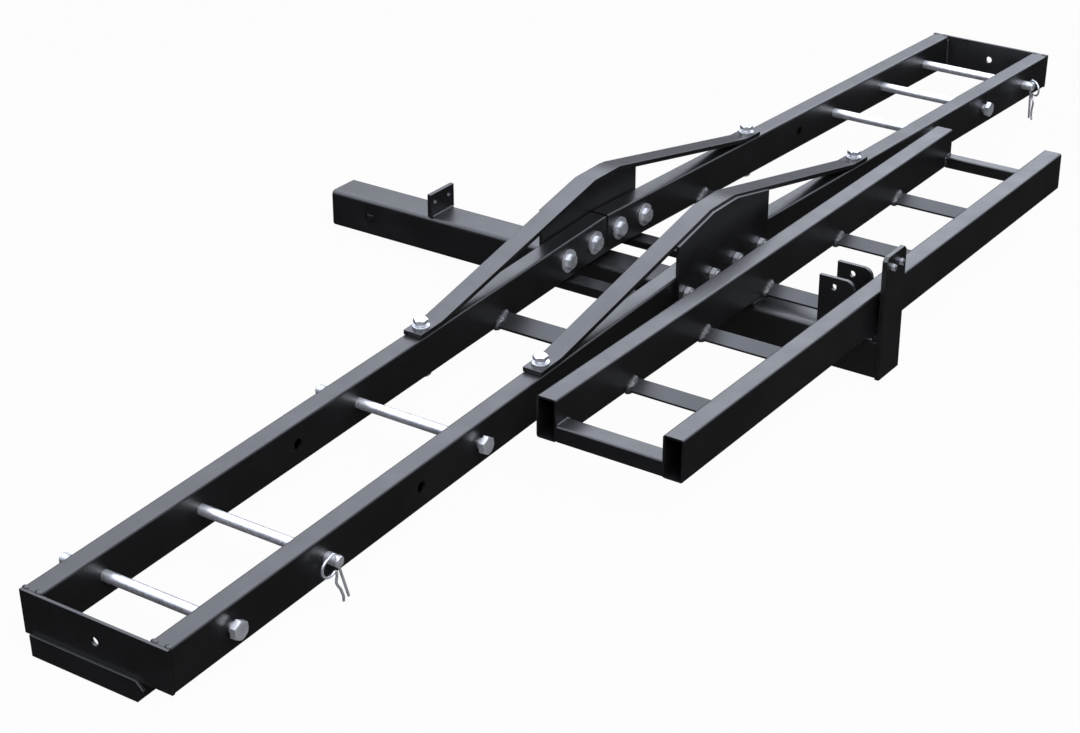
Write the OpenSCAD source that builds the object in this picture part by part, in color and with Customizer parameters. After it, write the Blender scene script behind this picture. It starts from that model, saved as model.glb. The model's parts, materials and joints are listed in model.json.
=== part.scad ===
// Hitch-mounted motorcycle carrier with its loading ramp stored beside the wheel track.
// Millimetres. The origin is the middle of the hitch pin hole on the axis of the hitch tube.
// X runs along the wheel track, +Y runs along the hitch tube towards the vehicle, +Z is up.

/* [Hitch tube] */
// Outer width and height of the square hitch tube
tube_size = 50.8; // [40:0.1:65]
// Wall of the hitch tube
tube_wall = 4.8; // [3:0.1:8]
// Outer corner radius of the hitch tube
tube_corner = 6; // [2:0.5:9]
// Pin hole to the open end that goes into the receiver
pin_setback = 63.5; // [40:0.5:90]
// Diameter of the hitch pin hole
pin_hole_diameter = 16.5; // [12:0.1:20]
// Pin hole to the centre line of the wheel track
track_setback = 430; // [300:1:600]
// Centre line of the wheel track to the outer face of the upright plate
outer_reach = 329; // [290:1:400]
// Pin hole to the near face of the stop plate
stop_setback = 103; // [80:1:180]
// Thickness of the stop plate
stop_thickness = 6; // [4:0.5:10]
// Height of the stop plate above the tube
stop_height = 32; // [20:1:60]
// Distance between the two holes of the stop plate
stop_hole_spacing = 30; // [18:1:34]
// Diameter of each stop plate hole
stop_hole_diameter = 8.5; // [5:0.5:12]
// Height of the stop plate holes above the tube
stop_hole_height = 21; // [10:1:40]

/* [Track] */
// Length of one track half along its own slope
half_length = 993; // [800:1:1100]
// Overall width of the wheel track
track_width = 190.5; // [150:0.5:260]
// Width of every track rail
rail_width = 25.4; // [20:0.1:40]
// Height of every track rail
rail_height = 50.8; // [38:0.1:60]
// Wall of the track rails
rail_wall = 2.5; // [1.5:0.1:4]
// Outer corner radius of the track and ramp rails
rail_corner = 3; // [1.5:0.5:5]
// Angle by which each half hangs down from the joint
half_droop = 2.45; // [0:0.05:4]
// Gap between the hitch tube and the track at the joint
joint_lift = 5.5; // [4:0.5:10]
// Thickness of the plates that close the outer ends
end_plate_thickness = 4; // [3:0.5:8]
// Diameter of the hole in each end plate
end_hole_diameter = 10; // [6:0.5:16]
// Joint to the first row of cross holes
station_a = 503; // [450:1:560]
// Joint to the second row of cross holes
station_b = 608; // [575:1:660]
// Joint to the third row of cross holes
station_c = 763; // [700:1:820]
// Joint to the fourth row of cross holes
station_d = 905; // [850:1:940]
// Joint to the middle of each tilted track bar
track_bar_station = 231; // [150:1:330]
// Width of each tilted track bar
track_bar_width = 24; // [18:0.5:30]
// Thickness of each tilted track bar
track_bar_thickness = 5; // [3:0.5:8]
// Tilt of the track bars from level
track_bar_tilt = 26; // [15:1:50]
// Height of the lower edge of the track bars above the rail underside
track_bar_lift = 0.5; // [0:0.5:10]

/* [Hook lip] */
// Height of the hook lip face
lip_height = 25; // [15:1:40]
// Thickness of the hook lip
lip_thickness = 4; // [3:0.5:6]
// Depth of the hook lip shelf
lip_depth = 26; // [15:1:40]
// Far end of the hook lip from the track centre line
lip_far = 86; // [60:1:95]
// Near end of the hook lip from the track centre line
lip_near = 61; // [40:1:95]
// Overlap of the hook lip on the end plate
lip_overlap = 3; // [2:0.5:8]
// Corner cut of the hook lip
lip_cut = 9; // [3:0.5:12]

/* [Joint plates and braces] */
// Half the length of each joint plate
plate_half_length = 107; // [100:1:140]
// Thickness of the joint plates
plate_thickness = 5; // [3:0.5:8]
// Joint to the inner splice bolts
splice_inner = 27; // [20:1:40]
// Joint to the outer splice bolts
splice_outer = 87; // [70:1:100]
// Width of the cross ties
tie_width = 25; // [15:1:40]
// Thickness of the cross ties
tie_thickness = 10; // [5:0.5:15]
// Tube axis to the middle of each cross tie
tie_offset = 77; // [50:1:97]
// Thickness of the braces
brace_thickness = 6; // [4:0.5:8]
// Half the length of the level top of each brace
brace_flat_half = 28; // [15:1:60]
// Height of the underside of the level top above the hitch tube
brace_rise = 107.8; // [90:0.5:140]
// Joint to the bend where each brace meets the rail
brace_bend = 346; // [300:1:360]
// Joint to the brace end bolts
brace_bolt_station = 369; // [362:1:400]
// Joint to the end of each brace
brace_end = 386; // [380:1:420]
// How far the joint plates cover the edge of the braces
brace_cover = 3; // [1:0.5:5]

/* [Upright and ramp pocket] */
// Thickness of the upright plate
upright_thickness = 6; // [4:0.5:10]
// Height of the upright plate above the tube
upright_height = 107; // [90:1:140]
// Corner cut of the upright plate
upright_cut = 5; // [2:0.5:15]
// Height of the upright bolts above the tube
upright_bolt_height = 91; // [80:1:110]
// Distance between the upright bolts
upright_bolt_spacing = 20; // [14:1:30]
// Thickness of the keeper strip
keeper_thickness = 3; // [2:0.5:4]
// Width of the keeper strip
keeper_width = 30; // [28:1:45]
// Height of the ears above the tube
ear_height = 66; // [58:1:80]
// Thickness of the ears
ear_thickness = 5; // [3:0.5:6]
// Length of the ears along the tube
ear_length = 46; // [30:1:60]
// Rounding of the outer top corner of the ears
ear_round = 12; // [5:1:20]
// Diameter of the hole in each ear
ear_hole_diameter = 8; // [5:0.5:12]
// Outer edge of the ears to the hole
ear_hole_inset = 26; // [15:1:36]
// Top of the ears to the hole
ear_hole_drop = 12; // [8:1:20]
// Play of the ramp rail beside the ears
pocket_play = 1.3; // [0.5:0.1:2.5]

/* [Ramp] */
// Length of the ramp
ramp_length = 969; // [800:1:1200]
// Width of the ramp
ramp_width = 184; // [160:0.5:200]
// Middle of the ramp from the tube axis
ramp_offset = 33; // [-60:1:60]
// Width of the ramp rungs
rung_width = 19.5; // [15:0.5:26]
// Thickness of the ramp rungs
rung_thickness = 4; // [3:0.5:6]
// Tilt of the ramp rungs from level
rung_tilt = 28; // [15:1:50]
// Ramp middle to the first rung
rung_a = -334; // [-400:1:-280]
// Ramp middle to the second rung
rung_b = -176; // [-250:1:-120]
// Ramp middle to the third rung
rung_c = -26; // [-40:1:-15]
// Ramp middle to the fourth rung
rung_d = 157; // [80:1:220]
// Ramp middle to the fifth rung
rung_e = 319; // [250:1:400]
// Height of the wide end bar
wide_bar_height = 20; // [14:0.5:30]
// Width of the wide end bar
wide_bar_width = 25; // [18:0.5:40]
// Wall of the wide end bar
wide_bar_wall = 2.5; // [2:0.5:4]
// Height of the narrow end bar
narrow_bar_height = 16; // [8:0.5:24]
// Width of the narrow end bar
narrow_bar_width = 16; // [8:0.5:24]
// Wall of the narrow end bar
narrow_bar_wall = 2; // [1.5:0.5:3]

/* [Fasteners] */
// Diameter of the cross rods
rod_diameter = 12.7; // [10:0.1:16]
// Radial clearance of the cross rods in their holes
rod_clearance = 0.08; // [0.05:0.01:0.1]
// Width across flats of the rod bolt heads
rod_head_flats = 22; // [18:1:26]
// Thickness of the rod bolt heads
rod_head_thickness = 7; // [6:0.5:12]
// Distance that the rod bolt heads stand off the rail
rod_stand_off = 4.5; // [2:0.5:15]
// Diameter of the washer under each splice bolt head
splice_washer_diameter = 32; // [24:0.5:36]
// Diameter of the washer under each brace bolt head
brace_washer_diameter = 22; // [19:0.5:25]
// Thickness of the washers
washer_thickness = 2.5; // [1.5:0.1:4]
// Diameter of the splice bolts
splice_diameter = 12; // [8:0.5:14]
// Diameter of the brace bolts
brace_bolt_diameter = 10; // [8:0.5:12]
// Diameter of the upright bolts
small_bolt_diameter = 5; // [4:0.5:6]
// Radial clearance of the bolts in their holes
bolt_clearance = 0.3; // [0.1:0.1:0.8]

/* [Hairpin rods] */
// Diameter of the disc head of each hairpin rod
disc_diameter = 22; // [18:0.5:28]
// Thickness of the disc head
disc_thickness = 5; // [3:0.5:8]
// Play of the disc head beside the rail
disc_play = 0.3; // [0.2:0.1:1]
// Rail face to the cross hole
cross_hole_stand_off = 12; // [10:0.5:20]
// Cross hole to the end of the rod
cross_hole_inset = 5; // [4:0.5:6]
// Wire diameter of the hairpins
wire_diameter = 3; // [2:0.1:3.5]
// Radial clearance of the hairpin leg in the cross hole
wire_clearance = 0.06; // [0.03:0.01:0.1]
// Wire centre line radius of the hairpin ring
ring_radius = 12; // [11:0.5:14]
// Height of the ring centre above the rod axis
ring_height = 8; // [7:0.5:12]
// Length of the hairpin legs below the rod axis
leg_length = 52; // [35:1:60]
// Gap between the rod and the outer leg
leg_gap = 0.4; // [0.3:0.1:0.8]
// Radius of the outward curve at the foot of the outer leg
foot_radius = 20; // [15:1:30]
// Angle of that curve
foot_turn = 30; // [15:1:40]
// Lean of the left hairpin
lean_left = 18; // [-30:1:30]
// Lean of the right hairpin
lean_right = -4; // [-30:1:30]
// Turn of the left hairpin about its straight leg
turn_left = 4; // [0:1:20]
// Turn of the right hairpin about its straight leg
turn_right = -56; // [-90:1:-50]

/* [Hidden] */
$fn = 48;
// Through cuts reach this far past a face
cut = 1;
// Smallest inner corner of a tube
least_radius = 0.5;
hex = 6;
// Across corners of a hexagon with unit width across flats
hex_ratio = 1 / cos(30);
tube_top = tube_size / 2;
joint_z = tube_top + joint_lift;
tube_end = -track_setback - outer_reach + upright_thickness;
rail_y = (track_width - rail_width) / 2;
rail_length = half_length - end_plate_thickness;
stations = [station_a, station_b, station_c, station_d];
rod_hole = rod_diameter + 2 * rod_clearance;
splice_hole = splice_diameter + 2 * bolt_clearance;
brace_hole = brace_bolt_diameter + 2 * bolt_clearance;
small_hole = small_bolt_diameter + 2 * bolt_clearance;
keeper_face = tube_end + keeper_thickness;
small_head_thickness = 2.5;
small_head_play = 1.5;
ramp_outer = keeper_face + small_head_thickness + small_head_play;
ramp_y = ramp_outer + ramp_width / 2;
ramp_rail_y = (ramp_width - rail_width) / 2;
ramp_z = joint_z;
ear_outer = ramp_outer + rail_width + pocket_play;
ear_inner = ear_outer + ear_length;
brace_z = tube_top + brace_rise;
plate_y = track_width / 2;
rung_lift = 0.5;
rung_centre_z = rung_width / 2 * sin(rung_tilt) + rung_thickness / 2 * cos(rung_tilt) + rung_lift;
track_bar_z = track_bar_lift + track_bar_width / 2 * sin(track_bar_tilt)
              + track_bar_thickness / 2 * cos(track_bar_tilt);
nut_flats_ratio = 1.6;
nut_height_ratio = 0.8;
cross_hole_y = -track_width / 2 - cross_hole_stand_off;
// The outer leg clears the side of one rod and the end of the other, rounded up to a tenth
leg_offset = ceil(10 * max((rod_diameter / 2 + leg_gap + wire_diameter / 2) / cos(turn_left),
                           (cross_hole_inset + leg_gap + wire_diameter / 2) / sin(-turn_right))) / 10;
// Bolt tips reach this far past their nuts
tip_length = 2;

// A point on the slope of a half: distance from the joint, height above the rail underside
function on_slope(u, w) = [u * cos(half_droop) + w * sin(half_droop),
                           joint_z - u * sin(half_droop) + w * cos(half_droop)];
function unit(v) = v / norm(v);
function left_of(v) = [-v[1], v[0]];
// Point at distance t beside the corner b of the path a, b, c
function mitre(a, b, c, t) =
    let (m = left_of(unit(b - a)), n = left_of(unit(c - b)))
    b + t * (m + n) / (1 + m * n);

module on_half(side) {
    mirror([side < 0 ? 1 : 0, 0, 0])
        translate([0, -track_setback, joint_z])
            rotate([0, half_droop, 0])
                children();
}

// Box of the given size, centred on Y, from x and z upwards
module bar(x, y, z, size) {
    translate([x, y - size[1] / 2, z]) cube(size);
}

module y_hole(x, z, diameter, reach) {
    translate([x, 0, z]) rotate([90, 0, 0]) cylinder(d = diameter, h = 2 * reach, center = true);
}

// Prism along Y from y0 to y1
module y_prism(x, z, diameter, y0, y1, sides = $fn) {
    translate([x, y1, z]) rotate([90, 0, 0]) cylinder(d = diameter, h = y1 - y0, $fn = sides);
}

// Rectangle centred on the first axis and standing on it, its corners rounded
module rounded_outline(width, height, radius) {
    difference() {
        translate([-width / 2, 0]) square([width, height]);
        for (right = [-1, 1], up = [-1, 1])
            translate([right * (width / 2 - radius), height / 2 + up * (height / 2 - radius)]) difference() {
                translate([right > 0 ? 0 : -radius - cut, up > 0 ? 0 : -radius - cut]) square(radius + cut);
                circle(r = radius);
            }
    }
}

// Rectangular tube along X, centred on Y, standing on the X Y plane
module box_tube(length, width, height, wall, corner) {
    rotate([90, 0, 90]) linear_extrude(height = length) difference() {
        rounded_outline(width, height, corner);
        translate([0, wall])
            rounded_outline(width - 2 * wall, height - 2 * wall, max(corner - wall, least_radius));
    }
}

// Plate outline in X and Z, thickened along Y from y0
module xz_plate(points, y0, thickness) {
    translate([0, y0 + thickness, 0]) rotate([90, 0, 0]) linear_extrude(height = thickness) polygon(points);
}

module hitch_tube() {
    color("black") difference() {
        translate([0, pin_setback, -tube_size / 2]) rotate([0, 0, -90])
            box_tube(pin_setback - tube_end, tube_size, tube_size, tube_wall, tube_corner);
        rotate([0, 90, 0]) cylinder(d = pin_hole_diameter, h = 2 * tube_size, center = true);
    }
}

module stop_plate() {
    color("black") difference() {
        bar(-tube_size / 2, stop_thickness / 2 - stop_setback, tube_top, [tube_size, stop_thickness, stop_height]);
        for (side = [-1, 1])
            translate([0, -stop_setback, 0])
                y_hole(side * stop_hole_spacing / 2, tube_top + stop_hole_height, stop_hole_diameter, tube_size);
    }
}

module cross_tie(side) {
    color("black")
        bar(side * tie_offset - tie_width / 2, -track_setback, tube_top - tie_thickness,
            [tie_width, track_width + 2 * plate_thickness, tie_thickness]);
}

module rail(side, row) {
    color("black") on_half(side) difference() {
        translate([0, row * rail_y, 0]) box_tube(rail_length, rail_width, rail_height, rail_wall, rail_corner);
        for (u = stations) y_hole(u, rail_height / 2, rod_hole, track_width);
        for (u = [splice_inner, splice_outer]) y_hole(u, rail_height / 2, splice_hole, track_width);
        translate([brace_bolt_station, row * rail_y, -cut]) cylinder(d = brace_hole, h = rail_height + 2 * cut);
    }
}

module end_plate(side) {
    color("black") on_half(side) difference() {
        bar(rail_length, 0, 0, [end_plate_thickness, track_width, rail_height]);
        translate([rail_length - cut, 0, rail_height / 2]) rotate([0, 90, 0])
            cylinder(d = end_hole_diameter, h = end_plate_thickness + 2 * cut);
    }
}

// Bar across the track; the pitch sign keeps the same lean on both halves
module track_bar(side) {
    color("black") on_half(side)
        translate([track_bar_station, 0, track_bar_z]) rotate([0, -side * track_bar_tilt, 0])
            cube([track_bar_width, track_width - 2 * rail_width, track_bar_thickness], center = true);
}

module hook_lip() {
    face = [[lip_far, lip_overlap], [lip_far, lip_overlap - lip_height],
            [lip_cut - lip_near, lip_overlap - lip_height], [-lip_near, lip_overlap - lip_cut],
            [lip_cut - lip_near, lip_overlap]];
    floor_z = lip_overlap - lip_height;
    color("black") on_half(-1) union() {
        translate([half_length, 0, 0]) rotate([90, 0, 90]) linear_extrude(height = lip_thickness) polygon(face);
        translate([half_length - lip_depth, lip_cut - lip_near, floor_z])
            cube([lip_depth + cut, lip_far + lip_near - lip_cut, lip_thickness]);
        xz_plate([[half_length + cut, floor_z], [half_length + cut, 0],
                  [half_length, 0], [half_length - lip_depth, floor_z + lip_thickness],
                  [half_length - lip_depth, floor_z]],
                 lip_cut - lip_near, lip_thickness);
    }
}

module joint_plate(row) {
    rise = brace_z + brace_cover;
    a = on_slope(brace_bend, rail_height);
    fall = (brace_z - a[1]) / (a[0] - brace_flat_half);
    side_top = rise - fall * (plate_half_length - brace_flat_half);
    outline = [[-plate_half_length, tube_top], [plate_half_length, tube_top], [plate_half_length, side_top],
               [brace_flat_half, rise], [-brace_flat_half, rise], [-plate_half_length, side_top]];
    y0 = row * plate_y - (row < 0 ? plate_thickness : 0);
    color("black") translate([0, -track_setback, 0]) difference() {
        xz_plate(outline, y0, plate_thickness);
        for (side = [-1, 1], u = [splice_inner, splice_outer]) {
            hole = on_slope(u, rail_height / 2);
            y_hole(side * hole[0], hole[1], splice_hole, track_width);
        }
    }
}

module brace(row) {
    e = on_slope(brace_end, rail_height);
    b = on_slope(brace_bend, rail_height);
    t = [brace_flat_half, brace_z];
    path = [[-e[0], e[1]], [-b[0], b[1]], [-t[0], t[1]], t, b, e];
    n = len(path) - 1;
    upper = [for (i = [0 : n])
        i == 0 ? path[0] + brace_thickness * left_of(unit(path[1] - path[0]))
        : i == n ? path[n] + brace_thickness * left_of(unit(path[n] - path[n - 1]))
        : mitre(path[i - 1], path[i], path[i + 1], brace_thickness)];
    outline = concat(path, [for (i = [n : -1 : 0]) upper[i]]);
    color("black") difference() {
        translate([0, -track_setback, 0]) xz_plate(outline, row * rail_y - rail_width / 2, rail_width);
        for (side = [-1, 1])
            on_half(side) translate([brace_bolt_station, row * rail_y, rail_height - cut])
                cylinder(d = brace_hole, h = brace_thickness + 2 * cut);
    }
}

module upright_plate() {
    w = tube_size / 2;
    top = tube_top + upright_height;
    outline = [[-w, -w], [w, -w], [w, top - upright_cut], [w - upright_cut, top],
               [upright_cut - w, top], [-w, top - upright_cut]];
    color("black") translate([0, tube_end - upright_thickness, 0]) difference() {
        xz_plate(outline, 0, upright_thickness);
        for (side = [-1, 1])
            y_hole(side * upright_bolt_spacing / 2, tube_top + upright_bolt_height, small_hole, tube_size);
    }
}

module keeper_strip() {
    color("black") difference() {
        bar(-keeper_width / 2, tube_end + keeper_thickness / 2, tube_top + joint_lift,
            [keeper_width, keeper_thickness, upright_bolt_height + small_bolt_diameter + small_head_thickness]);
        translate([0, tube_end, 0])
            for (side = [-1, 1])
                y_hole(side * upright_bolt_spacing / 2, tube_top + upright_bolt_height, small_hole, tube_size);
    }
}

// Ear outline in Y and Z, its outer top corner rounded
module ear_outline() {
    difference() {
        square([ear_length, ear_height]);
        translate([0, ear_height - ear_round]) difference() {
            translate([-cut, 0]) square([ear_round + cut, ear_round + cut]);
            translate([ear_round, 0]) circle(r = ear_round);
        }
        translate([ear_hole_inset, ear_height - ear_hole_drop]) circle(d = ear_hole_diameter);
    }
}

module ramp_bracket() {
    color("black") union() {
        translate([-tube_size / 2, tube_end, tube_top]) cube([tube_size, ear_inner - tube_end, joint_lift]);
        for (x = [-tube_size / 2, tube_size / 2 - ear_thickness])
            translate([x, ear_outer, tube_top]) rotate([90, 0, 90])
                linear_extrude(height = ear_thickness) ear_outline();
    }
}

module ramp_rest() {
    color("black")
        bar(-tube_size / 2, ramp_y + ramp_rail_y, tube_top, [tube_size, rail_width, joint_lift]);
}

module on_ramp() {
    translate([ramp_offset, ramp_y, ramp_z]) children();
}

module ramp_rail(row) {
    color("black") on_ramp()
        translate([-ramp_length / 2, row * ramp_rail_y, 0])
            box_tube(ramp_length, rail_width, rail_height, rail_wall, rail_corner);
}

module ramp_rung(x) {
    color("black") on_ramp()
        translate([x, 0, rung_centre_z]) rotate([0, -rung_tilt, 0])
            cube([rung_width, ramp_width - 2 * rail_width, rung_thickness], center = true);
}

// Hollow bar between the ramp rails, from the local origin towards +X
module end_bar(width, height, wall) {
    span = ramp_width - 2 * rail_width;
    translate([width / 2, -span / 2, 0]) rotate([0, 0, 90]) box_tube(span, width, height, wall, wall);
}

module ramp_wide_bar() {
    color("black") on_ramp() translate([-ramp_length / 2, 0, 0])
        end_bar(wide_bar_width, wide_bar_height, wide_bar_wall);
}

module ramp_narrow_bar() {
    color("black") on_ramp() translate([ramp_length / 2 - narrow_bar_width, 0, 0])
        end_bar(narrow_bar_width, narrow_bar_height, narrow_bar_wall);
}

// Each splice bolt runs outwards from the inner rail face through the joint plate
module splice_bolts() {
    inner = track_width / 2 - rail_width;
    tip = plate_y + plate_thickness + splice_diameter * nut_height_ratio + tip_length;
    color("silver") for (side = [-1, 1], row = [0, 1], u = [splice_inner, splice_outer])
        on_half(side) mirror([0, row, 0]) union() {
            y_prism(u, rail_height / 2, splice_diameter, inner - washer_thickness, tip);
            y_prism(u, rail_height / 2, splice_diameter * nut_flats_ratio * hex_ratio,
                    inner - washer_thickness - splice_diameter * nut_height_ratio, inner - washer_thickness, hex);
        }
}

module splice_washers() {
    inner = track_width / 2 - rail_width;
    color("silver") for (side = [-1, 1], row = [0, 1], u = [splice_inner, splice_outer])
        on_half(side) mirror([0, row, 0]) difference() {
            y_prism(u, rail_height / 2, splice_washer_diameter, inner - washer_thickness, inner);
            y_hole(u, rail_height / 2, splice_hole, track_width);
        }
}

module splice_nuts() {
    face = plate_y + plate_thickness;
    color("silver") for (side = [-1, 1], row = [0, 1], u = [splice_inner, splice_outer])
        on_half(side) mirror([0, row, 0]) difference() {
            y_prism(u, rail_height / 2, splice_diameter * nut_flats_ratio * hex_ratio,
                    face, face + splice_diameter * nut_height_ratio, hex);
            y_hole(u, rail_height / 2, splice_diameter, track_width);
        }
}

module brace_bolts() {
    head = rail_height + brace_thickness + washer_thickness;
    tail = brace_bolt_diameter * nut_height_ratio + tip_length;
    color("silver") for (side = [-1, 1], row = [-1, 1])
        on_half(side) translate([brace_bolt_station, row * rail_y, 0]) union() {
            translate([0, 0, -tail]) cylinder(d = brace_bolt_diameter, h = head + tail);
            translate([0, 0, head])
                cylinder(d = brace_bolt_diameter * nut_flats_ratio * hex_ratio,
                         h = brace_bolt_diameter * nut_height_ratio, $fn = hex);
        }
}

module brace_washers() {
    color("silver") for (side = [-1, 1], row = [-1, 1])
        on_half(side) translate([brace_bolt_station, row * rail_y, rail_height + brace_thickness]) difference() {
            cylinder(d = brace_washer_diameter, h = washer_thickness);
            translate([0, 0, -cut]) cylinder(d = brace_hole, h = washer_thickness + 2 * cut);
        }
}

module brace_nuts() {
    height = brace_bolt_diameter * nut_height_ratio;
    color("silver") for (side = [-1, 1], row = [-1, 1])
        on_half(side) translate([brace_bolt_station, row * rail_y, -height]) difference() {
            cylinder(d = brace_bolt_diameter * nut_flats_ratio * hex_ratio, h = height, $fn = hex);
            translate([0, 0, -cut]) cylinder(d = brace_bolt_diameter, h = height + 2 * cut);
        }
}

// Side and station of every plain rod bolt and of every hairpin rod
rod_bolt_places = [[-1, station_d], [-1, station_a], [1, station_b], [1, station_c]];
pin_place_left = [-1, station_c];
pin_place_right = [1, station_d];

module rod_bolts() {
    near = -track_width / 2 - rod_stand_off;
    far = track_width / 2 + rod_diameter * nut_height_ratio + tip_length;
    color("silver") for (place = rod_bolt_places)
        on_half(place[0]) union() {
            y_prism(place[1], rail_height / 2, rod_diameter, near, far);
            y_prism(place[1], rail_height / 2, rod_head_flats * hex_ratio, near - rod_head_thickness, near, hex);
        }
}

module rod_nuts() {
    color("silver") for (place = rod_bolt_places)
        on_half(place[0]) difference() {
            y_prism(place[1], rail_height / 2, rod_head_flats * hex_ratio,
                    track_width / 2, track_width / 2 + rod_diameter * nut_height_ratio, hex);
            y_hole(place[1], rail_height / 2, rod_diameter, track_width);
        }
}

module upright_bolts() {
    color("silver") for (side = [-1, 1])
        union() {
            y_prism(side * upright_bolt_spacing / 2, tube_top + upright_bolt_height, small_bolt_diameter,
                    tube_end - upright_thickness - small_bolt_diameter, keeper_face + small_head_thickness);
            y_prism(side * upright_bolt_spacing / 2, tube_top + upright_bolt_height, 2 * small_bolt_diameter,
                    keeper_face, keeper_face + small_head_thickness);
        }
}

module upright_nuts() {
    face = tube_end - upright_thickness;
    color("silver") for (side = [-1, 1])
        difference() {
            y_prism(side * upright_bolt_spacing / 2, tube_top + upright_bolt_height,
                    small_bolt_diameter * nut_flats_ratio * hex_ratio,
                    face - small_bolt_diameter * nut_height_ratio, face, hex);
            translate([0, face, 0])
                y_hole(side * upright_bolt_spacing / 2, tube_top + upright_bolt_height,
                       small_bolt_diameter, tube_size);
        }
}

// Frame of a hairpin: origin on the rod axis, Z up along the straight leg, X towards the ring
module at_hairpin(place, lean, turn) {
    rod = on_slope(place[1], rail_height / 2);
    translate([place[0] * rod[0], cross_hole_y - track_setback, rod[1]])
        rotate([0, place[0] * lean, 0]) rotate([0, 0, 180 - turn])
            children();
}

module hairpin_rod(place, lean, turn) {
    color("silver") difference() {
        on_half(place[0]) union() {
            y_prism(place[1], rail_height / 2, rod_diameter, cross_hole_y - cross_hole_inset,
                    track_width / 2 + disc_play + disc_thickness);
            y_prism(place[1], rail_height / 2, disc_diameter, track_width / 2 + disc_play,
                    track_width / 2 + disc_play + disc_thickness);
        }
        at_hairpin(place, lean, turn)
            cylinder(d = wire_diameter + 2 * wire_clearance, h = 2 * rod_diameter, center = true);
    }
}

// Part of a ring of wire in the X Z plane, from angle a0 anticlockwise over the sweep
module wire_arc(x, z, radius, a0, sweep) {
    translate([x, 0, z]) rotate([90, 0, 0]) rotate([0, 0, a0])
        rotate_extrude(angle = sweep) translate([radius, 0]) circle(d = wire_diameter);
}

module wire_line(x, z, length) {
    translate([x, 0, z]) cylinder(d = wire_diameter, h = length);
}

// One wire: straight leg, three quarters of a ring, a tight bend back, outer leg, curved foot
module hairpin(place, lean, turn) {
    bend = ring_radius - leg_offset;
    bend_z = ring_height - ring_radius - bend;
    foot_z = foot_radius * sin(foot_turn) - leg_length;
    color("silver") at_hairpin(place, lean, turn) union() {
        wire_line(0, -leg_length, leg_length + ring_height);
        wire_arc(ring_radius, ring_height, ring_radius, -90, 270);
        wire_arc(ring_radius, bend_z, bend, 90, 90);
        wire_line(leg_offset, foot_z, bend_z - foot_z);
        wire_arc(leg_offset + foot_radius, foot_z, foot_radius, 180, foot_turn);
    }
}

hitch_tube();
stop_plate();
cross_tie(-1);  // tie_left
cross_tie(1);  // tie_right
joint_plate(1);  // joint_plate_far
joint_plate(-1);  // joint_plate_near
brace(1);  // brace_far
brace(-1);  // brace_near
rail(-1, 1);  // rail_left_far
rail(-1, -1);  // rail_left_near
rail(1, 1);  // rail_right_far
rail(1, -1);  // rail_right_near
end_plate(-1);  // end_plate_left
end_plate(1);  // end_plate_right
track_bar(-1);  // track_bar_left
track_bar(1);  // track_bar_right
hook_lip();
upright_plate();
keeper_strip();
ramp_bracket();
ramp_rest();
splice_bolts();
splice_washers();
splice_nuts();
brace_bolts();
brace_washers();
brace_nuts();
rod_bolts();
rod_nuts();
upright_bolts();
upright_nuts();
hairpin_rod(pin_place_left, lean_left, turn_left);  // hairpin_rod_left
hairpin_rod(pin_place_right, lean_right, turn_right);  // hairpin_rod_right
hairpin(pin_place_left, lean_left, turn_left);  // hairpin_left
hairpin(pin_place_right, lean_right, turn_right);  // hairpin_right
ramp_rail(1);  // ramp_rail_far
ramp_rail(-1);  // ramp_rail_near
ramp_wide_bar();
ramp_narrow_bar();
ramp_rung(rung_a);  // ramp_rung_1
ramp_rung(rung_b);  // ramp_rung_2
ramp_rung(rung_c);  // ramp_rung_3
ramp_rung(rung_d);  // ramp_rung_4
ramp_rung(rung_e);  // ramp_rung_5
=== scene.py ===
"""Looks of the hitch motorcycle carrier.

Painted tubes and plates with rolled edges, detailed hardware, welds, studio light and the
photograph's camera. Sizes are in millimetres unless a comment says metres; MM makes them metres.
"""
import json
import math

import bmesh
import bpy
from mathutils import Matrix, Vector


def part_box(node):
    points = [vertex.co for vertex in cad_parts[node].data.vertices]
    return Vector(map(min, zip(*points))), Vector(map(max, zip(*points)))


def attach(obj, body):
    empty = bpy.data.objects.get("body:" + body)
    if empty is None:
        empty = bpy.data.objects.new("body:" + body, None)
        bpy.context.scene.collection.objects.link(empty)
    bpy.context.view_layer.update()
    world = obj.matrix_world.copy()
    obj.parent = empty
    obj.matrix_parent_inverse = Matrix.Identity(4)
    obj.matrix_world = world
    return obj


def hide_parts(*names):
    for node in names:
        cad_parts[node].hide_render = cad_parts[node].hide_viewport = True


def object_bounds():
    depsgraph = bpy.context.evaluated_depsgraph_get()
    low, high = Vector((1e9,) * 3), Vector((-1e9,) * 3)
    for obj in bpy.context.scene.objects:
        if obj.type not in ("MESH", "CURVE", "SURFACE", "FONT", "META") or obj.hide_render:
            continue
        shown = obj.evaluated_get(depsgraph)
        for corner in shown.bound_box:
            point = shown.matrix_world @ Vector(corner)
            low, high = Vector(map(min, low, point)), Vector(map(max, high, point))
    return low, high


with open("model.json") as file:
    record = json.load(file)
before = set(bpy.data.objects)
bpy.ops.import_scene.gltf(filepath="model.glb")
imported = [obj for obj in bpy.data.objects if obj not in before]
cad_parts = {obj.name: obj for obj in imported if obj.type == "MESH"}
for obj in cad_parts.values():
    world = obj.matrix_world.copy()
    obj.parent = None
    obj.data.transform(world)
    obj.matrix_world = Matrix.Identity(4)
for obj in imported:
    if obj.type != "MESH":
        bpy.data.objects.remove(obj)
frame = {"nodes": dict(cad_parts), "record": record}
CAD_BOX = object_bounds()
MM = 0.001

# Camera, from the fit to the photograph (metres, degrees, millimetres of lens and sensor)
CAMERA_AT = Vector((-2.28855, -1.82214, 1.2382))
CAMERA_YAW = 55.65
CAMERA_PITCH = 26.75
CAMERA_LENS = 78.375
CAMERA_SENSOR = 36
CAMERA_FAR = 60

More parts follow.
